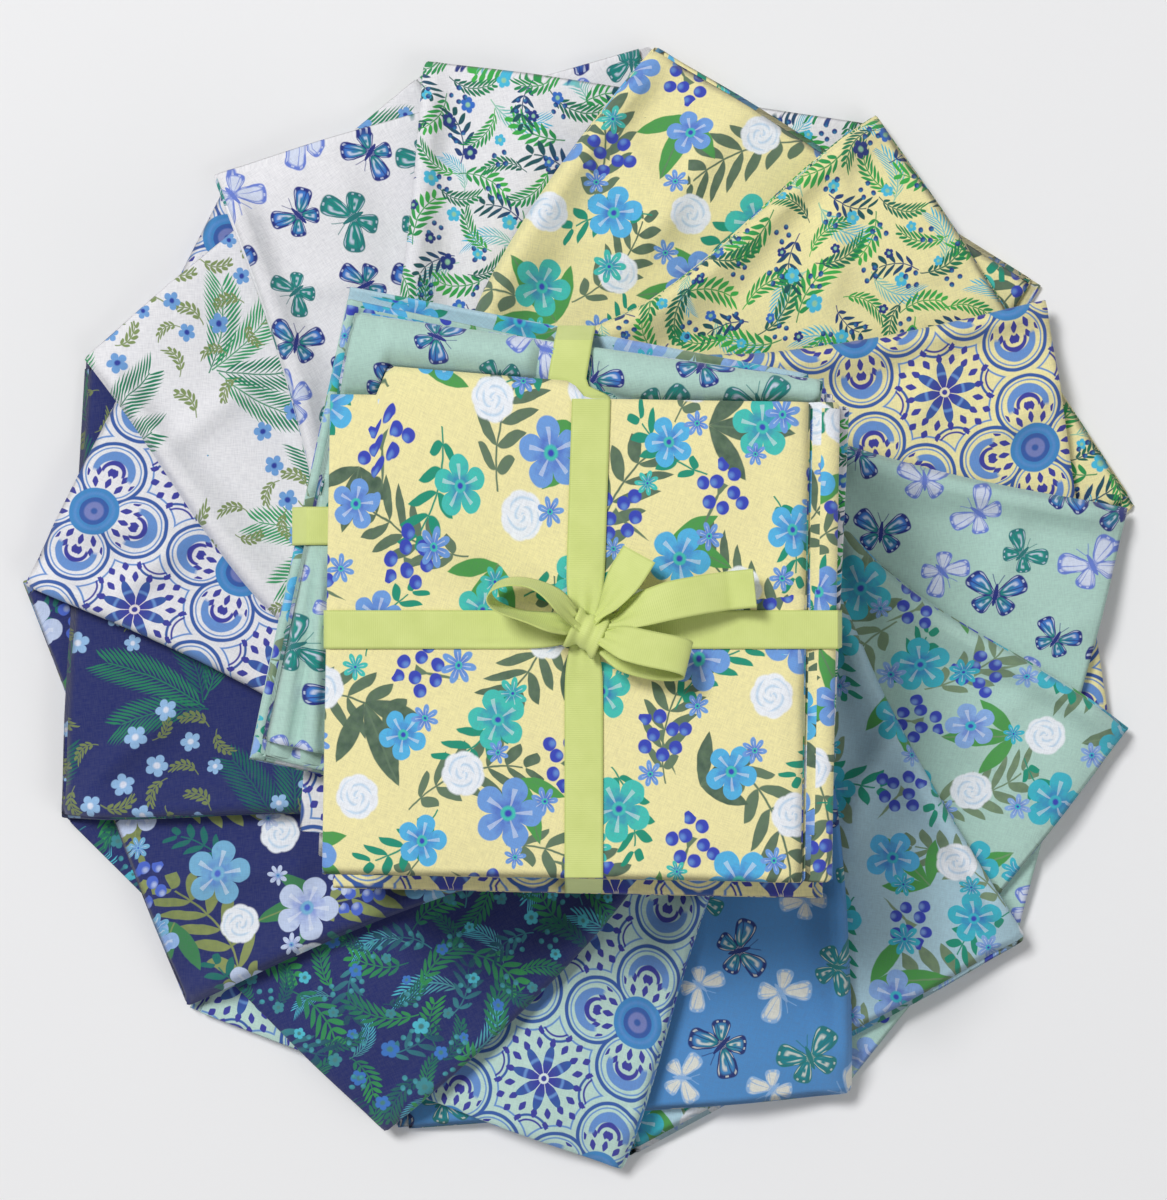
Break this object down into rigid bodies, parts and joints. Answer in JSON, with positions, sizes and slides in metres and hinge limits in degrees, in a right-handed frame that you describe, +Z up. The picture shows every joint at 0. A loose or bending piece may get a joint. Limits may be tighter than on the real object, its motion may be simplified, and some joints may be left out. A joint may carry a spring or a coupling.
{
  "type": "fat quarter bundle",
  "caption": "Ribbon-tied stack of folded printed cotton fat quarters lying on a pinwheel fan of folded fat quarters.",
  "frame": {"origin": "on the surface the fan lies on, under the middle of the whole footprint", "axes": "+Z up, +X to the right of the stack, +Y towards the back edge of the stack"},
  "size_m": [0.3648, 0.3674, 0.1194],
  "materials": {
    "cotton_white_foliage": "matte printed cotton",
    "cotton_yellow_floral": "matte printed cotton",
    "cotton_yellow_foliage": "matte printed cotton",
    "cotton_yellow_tile": "matte printed cotton",
    "cotton_sage_butterfly": "matte printed cotton",
    "cotton_sage_floral": "matte printed cotton",
    "cotton_aqua_floral": "matte printed cotton",
    "cotton_blue_butterfly": "matte printed cotton",
    "cotton_mint_tile": "matte printed cotton",
    "cotton_navy_foliage": "matte printed cotton",
    "cotton_navy_floral": "matte printed cotton",
    "cotton_navy_fern": "matte printed cotton",
    "cotton_white_tile": "matte printed cotton",
    "cotton_white_fern": "matte printed cotton",
    "cotton_white_butterfly": "matte printed cotton",
    "ribbon_lime": "soft ribbed ribbon"
  },
  "bodies": {
    "root": {"fan_01_white_foliage": "cotton_white_foliage", "fan_02_yellow_floral": "cotton_yellow_floral", "fan_03_yellow_foliage": "cotton_yellow_foliage", "fan_04_yellow_tile": "cotton_yellow_tile", "fan_05_sage_butterfly": "cotton_sage_butterfly", "fan_06_sage_floral": "cotton_sage_floral", "fan_07_aqua_floral": "cotton_aqua_floral", "fan_08_blue_butterfly": "cotton_blue_butterfly", "fan_09_mint_tile": "cotton_mint_tile", "fan_10_navy_foliage": "cotton_navy_foliage", "fan_11_navy_floral": "cotton_navy_floral", "fan_12_navy_fern": "cotton_navy_fern", "fan_13_white_tile": "cotton_white_tile", "fan_14_white_fern": "cotton_white_fern", "fan_15_white_butterfly": "cotton_white_butterfly", "stack_01_navy_foliage": "cotton_navy_foliage", "stack_02_navy_floral": "cotton_navy_floral", "stack_03_navy_fern": "cotton_navy_fern", "stack_04_mint_tile": "cotton_mint_tile", "stack_05_blue_butterfly": "cotton_blue_butterfly", "stack_06_yellow_tile": "cotton_yellow_tile", "stack_07_white_foliage": "cotton_white_foliage", "stack_08_white_butterfly": "cotton_white_butterfly", "stack_09_white_tile": "cotton_white_tile", "stack_10_aqua_floral": "cotton_aqua_floral", "stack_11_sage_floral": "cotton_sage_floral", "stack_12_sage_butterfly": "cotton_sage_butterfly", "stack_13_yellow_floral": "cotton_yellow_floral", "ribbon_long": "ribbon_lime", "ribbon_cross": "ribbon_lime", "ribbon_knot": "ribbon_lime", "ribbon_loop_left": "ribbon_lime", "ribbon_loop_right": "ribbon_lime", "ribbon_tail_short": "ribbon_lime", "ribbon_tail_long": "ribbon_lime"}
  },
  "joints": []
}
